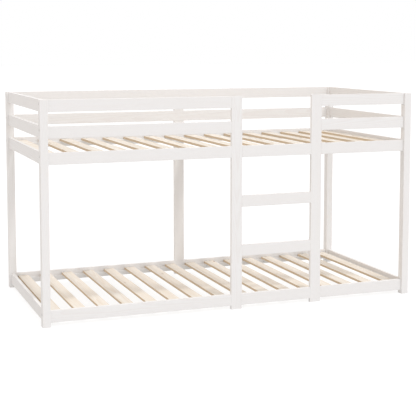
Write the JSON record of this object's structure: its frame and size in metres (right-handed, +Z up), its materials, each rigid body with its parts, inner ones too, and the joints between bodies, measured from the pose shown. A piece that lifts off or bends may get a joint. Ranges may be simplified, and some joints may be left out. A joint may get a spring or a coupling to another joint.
{
  "type": "bunk bed with ladder",
  "caption": "Low bunk bed of square posts and flat rails, with two slatted bases, guard rails round the upper one and a fixed upright ladder in the front.",
  "frame": {"origin": "on the floor under the middle of the bed, at the bottom centre of its bounding box", "axes": "+X along the beds, to the right as seen from the ladder side; +Y from the ladder side to the back; +Z up"},
  "size_m": [2.06, 0.96, 1.12],
  "materials": {
    "white_paint": "white satin paint on pine",
    "pine": "planed, unpainted pine",
    "beech": "fluted beech dowel, unfinished",
    "zinc": "bright zinc plate"
  },
  "bodies": {
    "root": {"post_front_left": "white_paint", "post_front_right": "white_paint", "post_back_left": "white_paint", "post_back_right": "white_paint", "ladder_post_left": "white_paint", "ladder_post_right": "white_paint", "middle_back_post": "white_paint", "lower_front_rail": "white_paint", "lower_back_rail": "white_paint", "lower_left_rail": "white_paint", "lower_right_rail": "white_paint", "upper_front_rail": "white_paint", "upper_back_rail": "white_paint", "upper_left_rail": "white_paint", "upper_right_rail": "white_paint", "guard_back_low": "white_paint", "guard_back_top": "white_paint", "guard_left_low": "white_paint", "guard_left_top": "white_paint", "guard_right_low": "white_paint", "guard_right_top": "white_paint", "guard_front_left_low": "white_paint", "guard_front_left_top": "white_paint", "guard_front_right_low": "white_paint", "guard_front_right_top": "white_paint", "rung_low": "white_paint", "rung_high": "white_paint", "lower_front_cleat": "white_paint", "lower_back_cleat": "white_paint", "lower_slats_01_02": "pine", "lower_slats_03_04": "pine", "lower_slats_05_06": "pine", "lower_slats_07_08": "pine", "lower_slats_09_10": "pine", "lower_slats_11_12": "pine", "lower_slats_13_14": "pine", "lower_slats_15_16": "pine", "upper_front_cleat": "white_paint", "upper_back_cleat": "white_paint", "upper_slats_01_02": "pine", "upper_slats_03_04": "pine", "upper_slats_05_06": "pine", "upper_slats_07_08": "pine", "upper_slats_09_10": "pine", "upper_slats_11_12": "pine", "upper_slats_13_14": "pine", "upper_slats_15_16": "pine", "corner_dowels": "beech", "ladder_dowels": "beech", "end_rail_dowels": "beech", "frame_bolts": "zinc", "barrel_nuts": "zinc", "lap_screws": "zinc", "lower_cleat_screws": "zinc", "upper_cleat_screws": "zinc", "lower_slat_screws": "zinc", "upper_slat_screws": "zinc"}
  },
  "joints": []
}
